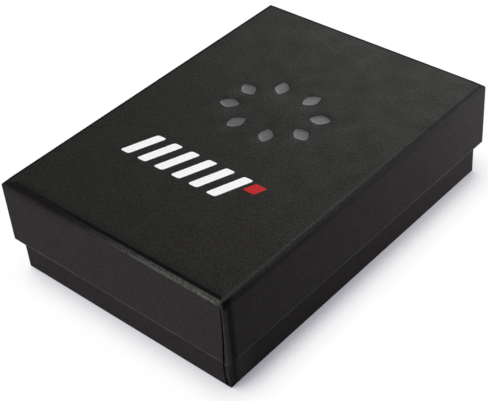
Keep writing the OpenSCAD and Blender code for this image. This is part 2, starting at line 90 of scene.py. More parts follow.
# The floor's shadow: how far it reaches, which way the light leans, how open the deepest and the
# faintest shadow is with the strength of each, how it falls off, its tint, and where it fades, given
# by an axis, a span along it in metres and the strengths at its ends
SHADOW_REACH_MM = 9.0
SHADOW_LEAN = (-0.55, -0.2, 1.0)
SHADOW_RANGE = (0.25, 0.98, 0.9, 0.0)
SHADOW_FALL = 1.5
SHADOW_TINT = (1.0, 1.03, 0.92)
SHADOW_FADES = (
    ((1.0, 1.0, 0.0), (-0.03, 0.055), (1.05, 0.7)),
    ((1.0, 0.0, 0.0), (0.0312, 0.035), (1.0, 0.62)),
)

# The paper of the box, in millimetres
PAPER_T = 0.2
WALL_T = 1.2
TURN_IN = 10.0
BOTTOM_EDGE_R = 0.3
RIM_R = 0.34
CORNER_R = 0.35

# The papers' grain, in millimetres: the size of its pebbles and pores, how far the pebbles are moved
# about and over what distance that changes, and the colour of paper in deep shade
PEBBLE_SIZE = 0.52
PORE_SIZE = 0.22
PEBBLE_SHIFT = 0.5
PEBBLE_SHIFT_SIZE = 1.4
DEEP_SHADE = (0.0008, 0.0008, 0.0008)

# How far in from the panel's edge its rows run straight, whatever the radius of the edge
STRAIGHT_FROM = 4.0

# For the front, right, back and left side of the lid: the radius of its top edge, and how far the
# plain paper of the side reaches onto the panel
TOP_EDGE_R = (0.85, 0.85, 0.45, 0.45)
EDGE_STRIP = (2.4, 1.25, 1.1, 1.1)

# How strongly a highlight is painted on the bulging paper at the corner where the wrapping gapes
CORNER_HIGHLIGHT = 0.12

# Marks painted on the paper, of rubbed paper with painted highlights and of painted shade, each with
# where it starts, is full, fades and ends, in millimetres: along the front edge from the lid's middle,
# over an edge from the panel to the side, or from the gaping corner
FRONT_RUB_AND_HIGHLIGHT_ALONG = (-12.0, 24.0, 29.5, 31.0)
FRONT_RUB_AND_HIGHLIGHT_OVER = (-1.65, -1.25, -0.4, 0.25)
CREASE_BRINK_OVER = (-4.2, -2.2, -1.9, -1.5)
FRONT_SHADE_OVER = (-3.0, -1.8, -1.0, 3.2)
FAR_SHADE_OVER = (-1.1, -0.6, 0.0, 2.0)
LID_CORNER_SHADE = (0.1, 1.4, 1.4, 3.0)
BASE_CORNER_SHADE = (0.1, 1.2, 1.2, 2.2)

# How deep the paper lies, in millimetres: on average all over, in a seam, past the end of a flap at a
# shut corner and at the gaping one, in the gaping slit, and in the crease of the front edge
PAPER_SINK = 0.02
SEAM_SINK = 0.02
FLAP_SINK = (0.015, 0.04)
SLIT_SINK = 0.16
CREASE_SINK = 0.07

# The lid's print, in millimetres from the lid's centre. The dents stand in a ring, given by its
# centre and its half widths. Each is a lozenge, cut in steps of its size, and a dish that is given by
# shares of its size with the depth within each
DENT_RING = (-0.9, 9.2, 11.2, 8.6)
DENT_SIZE = (4.6, 3.3)
DENT_COUNT = 8
LOZENGE_POINTS = 24
LOZENGE_POWER = 1.35
DENT_STEPS = (1.0, 0.86, 0.7, 0.35)
DENT_DISH = ((0.36, 0.13), (0.71, 0.12), (0.87, 0.07))

# The print's white bars, and its red mark by place, size and corner radius; both lean by a slant
BAR_START = (-16.2, -16.6)
BAR_STEP = 5.0
BAR_SIZE = (2.5, 8.6, 0.5)
BAR_COUNT = 6
RED_MARK = (13.6, -14.2, 3.0, 3.0, 0.35)
PRINT_SLANT = 0.38

# The insert's card, in millimetres
CARD_T = 0.6
FOLD_R = 0.9
SKIRT_SLIT = 0.06
SKIRT_BOW = 0.12
WELL_GAP = 0.4
NOTCH_R = 5.5

# The soft pieces: how fine each is meshed, how many times smoothed, how deep its dimples go and how
# wide they are, in millimetres
FOAM_SHAPE = (0.5, 3, 0.12, 1.2)
WADDING_SHAPE = (0.6, 6, 0.5, 3.0)
FELT_SHAPE = (0.3, 3, 0.12, 1.0)
WICK_SHAPE = (0.3, 2, 0.12, 0.7)


# ---------- small helpers ----------

def clamp(value, low=0.0, high=1.0):
    return max(low, min(high, value))


def bump_at(value, middle, width):
    """A smooth hill of height 1 round middle."""
    return math.exp(-((value - middle) / width) ** 2)


def ramp(value, start, end):
    """0 before start, 1 after end, smooth between."""
    t = clamp((value - start) / (end - start))
    return t * t * (3 - 2 * t)


def band(value, start, full, fade, end):
    """1 from full to fade, and smoothly down to 0 at start and at end."""
    return ramp(value, start, full) * (1 - ramp(value, fade, end))


def wave(x, y, z, size, seed=0.0):
    """Smooth noise from -1 to 1 with features of about size millimetres."""
    return noise.noise(Vector((x / size + seed, y / size - 3 * seed, z / size + 7 * seed)))


def tones(colour, *factors):
    """A colour made darker or lighter by each factor."""
    return [tuple(k * c for c in colour) for k in factors]


def quarter(steps):
    """The angles of a quarter turn in equal steps."""
    return [math.radians(90 * k / steps) for k in range(steps + 1)]


def on_side(side, along, out):
    """A point along a side and out from the middle; the sides are front, right, back and left."""
    return ((along, -out), (out, along), (-along, out), (-out, -along))[side]


def direction(azimuth, elevation):
    """A unit vector from the box: azimuth 0 is in front of it, and 90 degrees to its right."""
    a, e = math.radians(azimuth), math.radians(elevation)
    return Vector((math.sin(a) * math.cos(e), -math.cos(a) * math.cos(e), math.sin(e)))


def inside(p, outline):
    """True if a point lies inside a closed outline."""
    found = False
    for (ax, ay), (bx, by) in zip(outline, outline[1:] + outline[:1]):
        if (ay > p[1]) != (by > p[1]) and p[0] < (bx - ax) * (p[1] - ay) / (by - ay) + ax:
            found = not found
    return found


def centre(outline):
    return sum(p[0] for p in outline) / len(outline), sum(p[1] for p in outline) / len(outline)


def shrunk(outline, share):
    """An outline shrunk towards its centre."""
    cx, cy = centre(outline)
    return [(cx + (p[0] - cx) * share, cy + (p[1] - cy) * share) for p in outline]


def apart(a, b):
    """How far apart two points of the plane are, along x and y together."""
    return abs(a[0] - b[0]) + abs(a[1] - b[1])


def loop_edges(start, count):
    """The edges of a closed loop of points, as pairs of their numbers."""
    return [(start + k, start + (k + 1) % count) for k in range(count)]


def triangles(points, edges):
    """Fills the plane between points, along given edges: its points, and each face with its middle."""
    corners = [Vector(p) for p in points]
    verts, _, faces, _, _, _ = delaunay_2d_cdt(corners, edges, [], 1, MERGE_WITHIN)
    middles = [sum((verts[i] for i in face), Vector((0, 0))) / len(face) for face in faces]
    return verts, list(zip(faces, middles))


def finish_mesh(bm, name, body, materials):
    """Turns a bmesh in metres into a smooth object that rides on a body."""
    mesh = bpy.data.meshes.new(name)
    bmesh.ops.recalc_face_normals(bm, faces=bm.faces)
    bm.to_mesh(mesh)
    bm.free()
    for material in materials:
        mesh.materials.append(material)
    for polygon in mesh.polygons:
        polygon.use_smooth = True
    piece = bpy.data.objects.new(name, mesh)
    bpy.context.scene.collection.objects.link(piece)
    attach(piece, body)
    return piece


# ---------- materials ----------

class Nodes:
    """The node tree of a material or the world, with short names for what every tree here needs."""

    def __init__(self, owner):
        owner.use_nodes = True
        self.tree = owner.node_tree
        self.tree.nodes.clear()

    def node(self, kind, **settings):
        made = self.tree.nodes.new(kind)
        for key, value in settings.items():
            setattr(made, key, value)
        return made

    def link(self, source, target):
        self.tree.links.new(source, target)

    def feed(self, socket, value):
        """Sets a socket to a number or a colour, or links it to another socket."""
        if isinstance(value, (int, float)):
            socket.default_value = value
        elif isinstance(value, tuple):
            socket.default_value = (*value, 1.0)
        else:
            self.link(value, socket)

    def math(self, operation, a, b=0.0, clamp_it=False):
        made = self.node("ShaderNodeMath", operation=operation, use_clamp=clamp_it)
        self.feed(made.inputs[0], a)
        self.feed(made.inputs[1], b)
        return made.outputs[0]

    def spread(self, value, low, high, out_low=0.0, out_high=1.0):
        """A value stretched from one range to another, and held at its ends."""
        made = self.node("ShaderNodeMapRange")
        self.link(value, made.inputs["Value"])
        levels = {"From Min": low, "From Max": high, "To Min": out_low, "To Max": out_high}
        for key, number in levels.items():
            made.inputs[key].default_value = number
        return made.outputs["Result"]

    def along(self, place, axis):
        """How far a place lies along an axis."""
        made = self.node("ShaderNodeVectorMath", operation="DOT_PRODUCT")
        made.inputs[1].default_value = Vector(axis).normalized()
        self.link(place, made.inputs[0])
        return made.outputs["Value"]

    def blend(self, factor, a, b):
        """One shader where factor is 0, another where it is 1."""
        made = self.node("ShaderNodeMixShader")
        for socket, value in zip(made.inputs, (factor, a, b)):
            self.link(value, socket)
        return made.outputs[0]


class Shader(Nodes):
    """A material with one main shader."""

    def __init__(self, name):
        self.material = bpy.data.materials.new(name)
        super().__init__(self.material)
        self.out = self.node("ShaderNodeOutputMaterial")
        self.base = self.node("ShaderNodeBsdfPrincipled")
        self.link(self.base.outputs["BSDF"], self.out.inputs["Surface"])
        self.place = self.node("ShaderNodeTexCoord").outputs["Object"]

    def stretched(self, x, y, z, where=None):
        """A place, by itself the object's own, with each axis scaled so that size 1 is one feature."""
        mapping = self.node("ShaderNodeMapping")
        mapping.inputs["Scale"].default_value = (x, y, z)
        self.link(where or self.place, mapping.inputs["Vector"])
        return mapping.outputs["Vector"]

    def shifted(self, reach_mm, size_mm):
        """The object's place, moved about by cloudy noise."""
        cloud = self.node("ShaderNodeTexNoise")
        cloud.inputs["Scale"].default_value = 1.0 / (size_mm * MM)
        cloud.inputs["Detail"].default_value = 2.0
        self.link(self.place, cloud.inputs["Vector"])
        shift = self.node("ShaderNodeVectorMath", operation="SCALE")
        shift.inputs["Scale"].default_value = reach_mm * MM
        self.link(cloud.outputs["Color"], shift.inputs[0])
        moved = self.node("ShaderNodeVectorMath", operation="ADD")
        self.link(self.place, moved.inputs[0])
        self.link(shift.outputs[0], moved.inputs[1])
        return moved.outputs[0]

    def noise(self, size_mm, detail=3.0, rough=0.5, where=None):
        """Cloudy noise with features of size_mm, or of size 1 at a place that is scaled already."""
        made = self.node("ShaderNodeTexNoise")
        made.inputs["Scale"].default_value = 1.0 if where else 1.0 / (size_mm * MM)
        made.inputs["Detail"].default_value = detail
        made.inputs["Roughness"].default_value = rough
        self.link(where or self.place, made.inputs["Vector"])
        return made.outputs["Fac"]

    def cells(self, size_mm, smooth, where=None):
        """Distance to the nearest of scattered points, which stand apart as in noise."""
        made = self.node("ShaderNodeTexVoronoi", feature="SMOOTH_F1")
        made.inputs["Scale"].default_value = 1.0 if where else 1.0 / (size_mm * MM)
        made.inputs["Smoothness"].default_value = smooth
        self.link(where or self.place, made.inputs["Vector"])
        return made.outputs["Distance"]

    def mix(self, factor, a, b):
        """A colour from a to b; either is a colour or a socket."""
        made = self.node("ShaderNodeMix", data_type="RGBA")
        for index, value in zip(MIX_COLOUR_INPUTS, (factor, a, b)):
            self.feed(made.inputs[index], value)
        return made.outputs[MIX_COLOUR_OUTPUT]

    def mark(self, name):
        """A value painted on the mesh's points."""
        return self.node("ShaderNodeAttribute", attribute_name=name).outputs["Fac"]

    def relief(self, height, depth_mm):
        """A normal that follows a height."""
        made = self.node("ShaderNodeBump")
        made.inputs["Distance"].default_value = depth_mm * MM
        self.link(height, made.inputs["Height"])
        return made.outputs["Normal"]

    def finish(self, colour, roughness, normal, metallic=0.0, specular=0.5):
        """Fills the shader's main sockets and gives the material back."""
        self.feed(self.base.inputs["Base Color"], colour)
        self.feed(self.base.inputs["Roughness"], roughness)
        self.feed(self.base.inputs["Normal"], normal)
        self.base.inputs["Metallic"].default_value = metallic
        self.base.inputs["Specular IOR Level"].default_value = specular
        return self.material


def grain_paper(name, colour, scuffed_and_highlit, grain_depth, specular, contrast=0.55):
    """Black paper embossed with a fine leather grain: lighter where an edge has rubbed and where a
    highlight is painted, and darker where shade is painted.
    """
    s = Shader(name)
    dense = 1 / (PEBBLE_SIZE * MM)
    place = s.stretched(dense, dense, dense, s.shifted(PEBBLE_SHIFT, PEBBLE_SHIFT_SIZE))
    pebble = s.spread(s.cells(1, 0.5, place), 0.1, 0.75, 1.0, 0.0)
    pores = s.noise(PORE_SIZE, 2.0)
    height = s.math("ADD", s.math("MULTIPLY", pebble, 0.75), s.math("MULTIPLY", pores, 0.35))
    shade = s.mix(s.spread(pebble, 0.0, 0.9), *tones(colour, 1 - contrast, 1 + contrast))
    patchy = s.spread(s.noise(0.45, 3.0, 0.7), 0.34, 0.56)
    # Rubbed paper and painted highlights, painted on the mesh, turn the grain towards the light colour
    shade = s.mix(s.math("MULTIPLY", s.mark("wear_and_highlight"), patchy, True), shade, scuffed_and_highlit)
    # Painted shade, painted on the mesh: the paper darkens towards its colour in deep shade
    shade = s.mix(s.math("MULTIPLY", s.mark("painted_shade"), 0.95, True), shade, DEEP_SHADE)
    clouds = s.spread(s.noise(5.0, 3.0), 0.3, 0.7, 0.54, 0.64)
    gloss = s.math("ADD", clouds, s.math("MULTIPLY", s.mark("painted_shade"), 0.35))
    return s.finish(shade, gloss, s.relief(height, grain_depth), specular=specular)


def flat_ink(name, colour, roughness, specular=0.4):
    """Ink or foil pressed on the grain, which still shows faintly through it."""
    s = Shader(name)
    grain = s.cells(0.5, 0.5)
    worn = s.spread(s.noise(0.7, 4.0, 0.6), 0.25, 0.5)
    shade = s.mix(worn, *tones(colour, 0.9, 1.0))
    return s.finish(shade, roughness, s.relief(grain, 0.02), specular=specular)


def plain_card(name, colour, fibre_mm=0.5, depth=0.02, roughness=0.75):
    """Card or board: short fibres, faint clouding and small flecks."""
    s = Shader(name)
    thin = 1 / (fibre_mm * MM)
    fibres = s.noise(1, 4.0, 0.65, s.stretched(thin / 4, thin, thin))
    cross = s.noise(1, 4.0, 0.65, s.stretched(thin, thin / 5, thin))
    web = s.math("MULTIPLY", s.math("ADD", fibres, cross), 0.5)
    fleck = s.spread(s.noise(0.35, 1.0), 0.66, 0.76)
    shade = s.mix(s.spread(web, 0.35, 0.65), *tones(colour, 0.82, 1.14))
    shade = s.mix(s.math("MULTIPLY", fleck, 0.35), shade, tuple(0.45 * c + 0.1 for c in colour))
    rough = s.spread(s.noise(6.0), 0.3, 0.7, roughness - 0.07, roughness + 0.07)
    return s.finish(shade, rough, s.relief(web, depth), specular=0.3)


def soft_foam(name, colour):
    """Open-cell foam."""
    s = Shader(name)
    pores = s.cells(0.7, 0.2)
    fine = s.noise(0.25, 3.0)
    shade = s.mix(s.spread(pores, 0.15, 0.6), *tones(colour, 0.5, 1.2))
    height = s.math("ADD", pores, s.math("MULTIPLY", fine, 0.4))
    return s.finish(shade, 0.95, s.relief(height, 0.25), specular=0.1)


def brushed_metal(name, colour, roughness, line_mm=0.05, run_mm=12.0, depth=0.004, along="Y"):
    """Metal with fine lines that run along one axis, and faint smears of handling."""
    s = Shader(name)
    scales = [1 / (line_mm * MM)] * 3
    scales["XYZ".index(along)] = 1 / (run_mm * MM)
    lines = s.noise(1, 3.0, 0.6, s.stretched(*scales))
    smear = s.noise(7.0, 4.0)
    shade = s.mix(s.spread(lines, 0.3, 0.7), *tones(colour, 0.88, 1.0))
    brushed = s.spread(lines, 0.3, 0.7, roughness - 0.04, roughness + 0.04)
    rough = s.math("ADD", s.spread(smear, 0.3, 0.7, -0.02, 0.03), brushed)
    return s.finish(shade, rough, s.relief(lines, depth), metallic=1.0)


def spun_fibre(name, colour, strand_mm, depth, roughness=0.9):
    """Cotton, felt or wadding."""
    s = Shader(name)
    strands = s.noise(1, 5.0, 0.7, s.stretched(*(1 / (k * strand_mm * MM) for k in (1, 3, 1.4))))
    tufts = s.noise(strand_mm * 6, 3.0)
    web = s.math("ADD", strands, s.math("MULTIPLY", tufts, 0.5))
    shade = s.mix(s.spread(web, 0.5, 1.0), *tones(colour, 0.72, 1.0))
    return s.finish(shade, roughness, s.relief(web, depth), specular=0.15)


TOP_PAPER = grain_paper(
    "top_paper", (0.0095, 0.0084, 0.0061), (0.074, 0.073, 0.062), 0.045, 0.15)
SIDE_PAPER = grain_paper(
    "side_paper", (0.0149, 0.0133, 0.0141), (0.127, 0.127, 0.115), 0.006, 0.015, 0.2)
BASE_PAPER = grain_paper(
    "base_paper", (0.0121, 0.0107, 0.0114), (0.059, 0.057, 0.055), 0.006, 0.015, 0.2)
# Near-black for the faces in the gaping slit: painted shade where the gap lies in shadow
SLIT_SHADE = flat_ink("slit_shade", (0.0006, 0.0006, 0.0006), 0.95, 0.0)
WHITE_INK = flat_ink("white_ink", (1.0, 1.0, 0.99), 0.5)
RED_INK = flat_ink("red_ink", (0.52, 0.005, 0.004), 0.5, 0.15)
GREY_INK = flat_ink("grey_ink", (0.063, 0.064, 0.067), 0.42, 0.42)
GREY_BOARD = plain_card("grey_board", (0.27, 0.245, 0.20), 0.6, 0.04)
BLACK_CARD = plain_card("black_card", (0.016, 0.0156, 0.016), 0.35, 0.015, 0.62)
LINER_PAPER = plain_card("liner_paper", (0.0128, 0.0124, 0.0128), 0.3, 0.01, 0.7)
LEAFLET_PAPER = plain_card("leaflet_paper", (0.74, 0.73, 0.68), 0.3, 0.008, 0.7)
FOAM = soft_foam("foam", (0.045, 0.045, 0.047))
CASE_METAL = brushed_metal("case_metal", (0.50, 0.50, 0.488), 0.25, 0.09, 30.0, 0.0015)
INNER_METAL = brushed_metal("inner_metal", (0.50, 0.495, 0.475), 0.34, 0.08, 4.0)
HINGE_METAL = brushed_metal("hinge_metal", (0.46, 0.455, 0.44), 0.36, 0.08, 3.0, along="Z")
RIVET_METAL = brushed_metal("rivet_metal", (0.40, 0.395, 0.38), 0.32, 0.1, 0.6)
SPRING_METAL = brushed_metal("spring_metal", (0.42, 0.42, 0.41), 0.3, 0.1, 2.0)
WHEEL_METAL = brushed_metal("wheel_metal", (0.13, 0.125, 0.12), 0.4, 0.1, 1.0, 0.01)
BRASS = brushed_metal("brass", (0.62, 0.41, 0.14), 0.3, 0.1, 3.0)
FLINT_METAL = plain_card("flint_metal", (0.075, 0.07, 0.066), 0.25, 0.02, 0.55)
WICK_COTTON = spun_fibre("wick_cotton", (0.70, 0.65, 0.52), 0.3, 0.1)
WADDING = spun_fibre("wadding", (0.80, 0.78, 0.72), 0.4, 0.2)
FELT = spun_fibre("felt", (0.62, 0.59, 0.52), 0.25, 0.12)


# ---------- the lid's print: generic marks pressed into the paper ----------

def soft_power(value):
    """A value from -1 to 1 with its sign kept, drawn towards 0."""
    return math.copysign(abs(value) ** LOZENGE_POWER, value)


def outline_lozenge(x, y, length, width, turn):
    """A lozenge with softened points."""
    c, s = math.cos(turn), math.sin(turn)
    points = []
    for k in range(LOZENGE_POINTS):
        a = math.tau * k / LOZENGE_POINTS
        px = length / 2 * soft_power(math.cos(a))
        py = width / 2 * soft_power(math.sin(a))
        points.append((x + px * c - py * s, y + px * s + py * c))
    return points


def outline_bar(x, y, width, height, corner):
    """An upright bar with round corners, which leans as all of the print does."""
    points = []
    for cx, cy, start in ((1, -1, -90), (1, 1, 0), (-1, 1, 90), (-1, -1, 180)):
        for step in range(4):
            a = math.radians(start + 30 * step)
            px = cx * (width / 2 - corner) + corner * math.cos(a)
            py = cy * (height / 2 - corner) + corner * math.sin(a)
            points.append((x + px + PRINT_SLANT * py, y + py))
    return points


def lid_print():
    """Outlines in millimetres from the lid's centre, each with its kind."""
    x, y, across, up = DENT_RING
    marks = []
    for k in range(DENT_COUNT):
        a = math.tau * (k + 0.5) / DENT_COUNT
        place = (x + across * math.cos(a), y + up * math.sin(a))
        marks.append(("dent", outline_lozenge(*place, *DENT_SIZE, a)))
    x, y = BAR_START
    for k in range(BAR_COUNT):
        marks.append(("white", outline_bar(x + BAR_STEP * k, y, *BAR_SIZE)))
    marks.append(("red", outline_bar(*RED_MARK)))
    return marks


def dent_depth(p, outline):
    """How deep a point lies in a dent: a soft dish."""
    cx, cy = centre(outline)
    if math.hypot(p[0] - cx, p[1] - cy) > DENT_SIZE[0]:
        return 0.0
    return next((depth for share, depth in DENT_DISH if inside(p, shrunk(outline, share))), 0.0)


# ---------- wrapped trays ----------

class Tray:
    """The paper skin of a wrapped tray, made as a lid: panel on top, rim at the bottom.

    Its points stand in columns round the tray, from the front left corner by the front, right, back
    and left side, numbered 0 to 3. Those near a corner follow the paper's seams. A column has its
    kind, its side, the side's end (-1 or 1), and a number, a share of the side or an angle. Marks are
    painted on the points, each from 0 to 1: one lightens for rubbed paper and painted highlights, the
    other is painted shade."""

    # Columns: how far those near a corner reach, where they stand across a seam in half widths of it,
    # how many stand before and after it, how far apart the others are, and the angles in the corner
    near_reach = 3.2
    seam_steps = (-1.0, -0.7, 0.7, 1.0)
    before_seam = 3
    after_seam = 12
    column_gap = 1.1
    corner_steps = (18.0, 36.0, 54.0, 72.0)

    # Rows: how far in they lie on the panel, and how far apart they are on the sides, fine near the top
    panel_insets = (STRAIGHT_FROM, 3.3, 2.8, 2.4, 2.1, 1.85, 1.65, 1.45, 1.25, 1.05, 0.9, 0.75)
    fine_row = 0.22
    fine_depth = 2.6
    coarse_row = 0.55

    # The points inside the panel: how far in they start, and in how many steps they cross it
    grid_inset = 4.6
    grid_steps = (14, 20)

    def __init__(self, low, high, flipped):
        self.low = [v / MM for v in low]
        self.high = [v / MM for v in high]
        self.flipped = flipped
        self.half = ((self.high[0] - self.low[0]) / 2, (self.high[1] - self.low[1]) / 2)
        self.middle = ((self.high[0] + self.low[0]) / 2, (self.high[1] + self.low[1]) / 2)
        self.height = self.high[2] - self.low[2]
        self.radii = (BOTTOM_EDGE_R,) * 4 if flipped else TOP_EDGE_R
        self.edge_r = max(self.radii)
        self.bm = bmesh.new()
        # The points' paint: one value lightens for rubbed paper and painted highlights, the other is
        # painted shade
        self.wear_and_highlight = self.bm.verts.layers.float.new("wear_and_highlight")
        self.painted_shade = self.bm.verts.layers.float.new("painted_shade")
        self.columns = self.make_columns()

    def make_columns(self):
        """All columns round the tray, in order."""
        count = self.before_seam + len(self.seam_steps) + self.after_seam
        found = []
        for side in range(4):
            reach = self.half[side % 2] - CORNER_R - self.near_reach
            steps = 2 * round(reach / (2 * self.column_gap))
            found += [("near", side, -1, k) for k in range(count)]
            for k in range(steps + 1):
                found.append(("side", side, 1 if 2 * k > steps else -1, -1 + 2 * k / steps))
            found += [("near", side, 1, k) for k in reversed(range(count))]
            found += [("corner", side, 1, angle) for angle in self.corner_steps]
        return found

    def seed(self, side, end):
        """What makes the noise of each corner its own."""
        return 3.0 * side + (1.7 if end > 0 else 0.0) + (11.0 if self.flipped else 0.0)

    def seam(self, side, end, down):
        """How far from the corner a seam runs: a slit on a short side, a flap's end on a long one."""
        seed = self.seed(side, end)
        if side % 2:
            return 1.5 + 0.3 * wave(seed, 0, down, 4.0)
        wobble = 0.02 * wave(0, seed, down, 2.5)
        if self.flipped:
            return 0.65 + 0.45 * ramp(down, 0.5, 3.5) + wobble
        return 0.14 + 0.8 * clamp(down / self.height) ** 2 + wobble

    def seam_width(self, down):
        """Half the width of a seam: the lid's widens towards its rim, the base's ends in a wedge."""
        if self.flipped:
            return 0.16 + 0.3 * (1 - ramp(down, 0.2, 2.5))
        return 0.1 + 0.12 * clamp(down / self.height)

    def away(self, column, down):
        """Distance along the side from its nearer corner."""
        kind, side, end, value = column
        if kind == "corner":
            return 0.0
        if kind == "side":
            straight = self.half[side % 2] - CORNER_R - self.near_reach
            return self.near_reach + (1 - abs(value)) * straight
        seam = self.seam(side, end, down)
        width = self.seam_width(down)
        if value < self.before_seam:
            return (seam - width) * value / self.before_seam
        value -= self.before_seam
        if value < len(self.seam_steps):
            return seam + width * self.seam_steps[value]
        past = (value + 1 - len(self.seam_steps)) / (self.after_seam + 1)
        return seam + width + (self.near_reach - seam - width) * past

    def place(self, column, inset, down):
        """A point of the skin before its small reliefs, in millimetres from the panel's centre."""
        kind, side, end, value = column
        radius = max(CORNER_R - inset, 0.12)
        straight = [h - inset - radius for h in self.half]
        if kind == "corner":
            a = math.radians(value)
            along = straight[side % 2] + radius * math.sin(a)
            out = straight[1 - side % 2] + radius * math.cos(a)
        else:
            if kind == "side":
                along = value * (straight[side % 2] - self.near_reach)
            else:
                along = end * (straight[side % 2] - self.away(column, down))
            out = self.half[1 - side % 2] - inset
        return *on_side(side, along, out), -down

    def outward(self, column):
        """Which way the skin faces at a column, seen from above."""
        kind, side, _, value = column
        a = math.radians(-90 + 90 * side + (value if kind == "corner" else 0))
        return math.cos(a), math.sin(a)

    def edge_radius(self, column):
        """The radius of the panel's rounded edge: each side has its own, and they meet at corners."""
        own, other = self.radii[column[1]], self.radii[(column[1] + column[2]) % 4]
        return own + (other - own) * 0.5 * (1 - ramp(self.away(column, 0.0), 0.0, self.near_reach))

    def fitted(self, value, radius):
        """A row's inset or depth, moved so that the rounded edge gets a radius of its own."""
        if value <= self.edge_r:
            return value * radius / self.edge_r
        if value >= STRAIGHT_FROM:
            return value
        past = value - self.edge_r
        return radius + past * (STRAIGHT_FROM - radius) / (STRAIGHT_FROM - self.edge_r)

    def at_open_corner(self, column):
        """True on either side of the corner where the wrapping gapes: the front right one."""
        return column[1:3] in ((0, 1), (1, -1))

    def in_slit(self, column):
        """True for the columns at the bottom of the gaping slit."""
        kind, side, _, value = column
        in_middle = value in (self.before_seam + 1, self.before_seam + 2)
        return kind == "near" and side == 0 and self.at_open_corner(column) and in_middle

    def slit_side(self, column, down):
        """(sink, wear with painted highlight, painted shade) by the seam of a short side, which shows
        as a thin dark line of painted shade.
        """
        _, side, end, _ = column
        seam = self.seam(side, end, down)
        share = bump_at(self.away(column, down), seam, 0.35) * ramp(down, 0.2, 0.8)
        return SEAM_SINK * share, 0.0, (0.35 if self.at_open_corner(column) else 0.1) * share

    def flap_side(self, column, down):
        """(sink, wear with painted highlight, painted shade) by the seam of a long side: the paper lies
        deeper past the flap's end. At the gaping corner a highlight is painted on the bulging paper,
        and shade is painted beside it and close to the panel's edge.
        """
        _, side, end, _ = column
        away = self.away(column, down)
        past = away - self.seam(side, end, down)
        step = ramp(past, -0.25, 0.25) * (1 - ramp(away, 2.5, 9.0)) * ramp(down, 0.6, 2.0)
        if not self.at_open_corner(column):
            return FLAP_SINK[0] * step, 0.0, 0.0
        # At the gaping corner: a painted highlight at the corner and, on the base, a few millimetres
        # from it; painted shade beside it and close to the panel's edge
        wear_and_highlight = CORNER_HIGHLIGHT * (1 - ramp(away, 0.0, 1.0))
        if self.flipped:
            wear_and_highlight = max(wear_and_highlight, 0.22 * bump_at(away, 3.6, 1.8))
            painted_shade = 0.45 * band(away, *BASE_CORNER_SHADE)
        else:
            painted_shade = 0.75 * band(away, *LID_CORNER_SHADE)
        painted_shade = max(painted_shade, 0.85 * bump_at(down, 0.3, 0.9) * (1 - ramp(away, 0.6, 2.6)))
        return FLAP_SINK[1] * step, wear_and_highlight, painted_shade

    def relief(self, column, inset, down):
        """(how far the skin sinks, wear with painted highlight, painted shade) of an outside point, by
        its seams, edge and rim, with a painted highlight along the lid's rim.
        """
        kind, side, end, _ = column
        x, y, _ = self.place(column, inset, down)
        if kind == "corner":
            step, wear_and_highlight, painted_shade = 0.0, CORNER_HIGHLIGHT * self.at_open_corner(column), 0.0
        else:
            step, wear_and_highlight, painted_shade = (self.flap_side if side % 2 else self.slit_side)(column, down)
        sink = PAPER_SINK + PAPER_SINK * wave(x, y, down, 11.0, self.seed(side, end)) + step
        if self.in_slit(column):
            sink = SLIT_SINK * ramp(down, 0.2, 0.7)
        if not self.flipped:
            rubbed_and_highlit, top_shade = self.top_marks(column, down - inset, x, y)
            # Painted highlight: a thin light line along the lid's lower edge, where the rim catches
            # light
            rim = (0.25 + 0.14 * wave(x, y, 0.0, 9.0)) * bump_at(self.height - down, 0.2, 0.28)
            wear_and_highlight, painted_shade = max(wear_and_highlight, rubbed_and_highlit, rim), max(painted_shade, top_shade)
        return sink, wear_and_highlight, painted_shade

    def top_marks(self, column, over, x, y):
        """(wear with painted highlight, painted shade) so far over the panel's edge, which is below 0
        on the panel. The back and left edges get painted shade only.
        """
        side = column[1]
        if side == 0:
            return self.front_marks(over, x, y)
        if side == 1:
            return self.right_marks(over, y)
        return 0.0, (0.5 if side == 2 else 0.8) * band(over, *FAR_SHADE_OVER)

    @staticmethod
    def front_marks(over, x, y):
        """(wear with painted highlight, painted shade) at the front edge: painted shade in a crease,
        before it and on the left, and past it paper rubbed light with a painted highlight on the right,
        where the rounded edge catches light.
        """
        # Rubbed paper with a painted highlight where the rounded edge catches light
        rubbed_and_highlit = band(x, *FRONT_RUB_AND_HIGHLIGHT_ALONG) * (0.75 + 0.25 * wave(x, y, over, 1.6, 5.0))
        # Painted shade in the crease, just before it, and over the left of the edge
        crease = (0.3 + 0.45 * ramp(x, -20, -4)) * bump_at(over, -1.9, 0.36)
        brink = 0.35 * band(over, *CREASE_BRINK_OVER)
        shade = 0.34 * (1 - ramp(x, -22, 0)) * band(over, *FRONT_SHADE_OVER)
        return 0.9 * rubbed_and_highlit * band(over, *FRONT_RUB_AND_HIGHLIGHT_OVER), max(crease, brink, shade)

    @staticmethod
    def right_marks(over, y):
        """(wear with painted highlight, painted shade) at the right edge: painted highlights as light
        lines on the panel, and painted shade as a dark one below them.
        """
        # Painted highlights: light lines on the panel along the edge
        line = 0.31 * (1 - ramp(y, -12, 28)) * bump_at(over, -1.45, 0.42)
        edge = 0.16 * ramp(y, -42, -30) * bump_at(over, -0.65, 0.45)
        # Painted shade below the edge
        below = (0.22 + 0.15 * (1 - ramp(y, -42, -20))) * bump_at(over, 0.5, 0.55)
        return max(line, edge), below

    def add(self, x, y, z, wear_and_highlight=0.0, painted_shade=0.0):
        """A vertex, from millimetres off the panel's centre and down from the panel."""
        level = self.low[2] - z if self.flipped else self.high[2] + z
        v = self.bm.verts.new(((self.middle[0] + x) * MM, (self.middle[1] + y) * MM, level * MM))
        v[self.wear_and_highlight] = wear_and_highlight
        v[self.painted_shade] = painted_shade
        return v

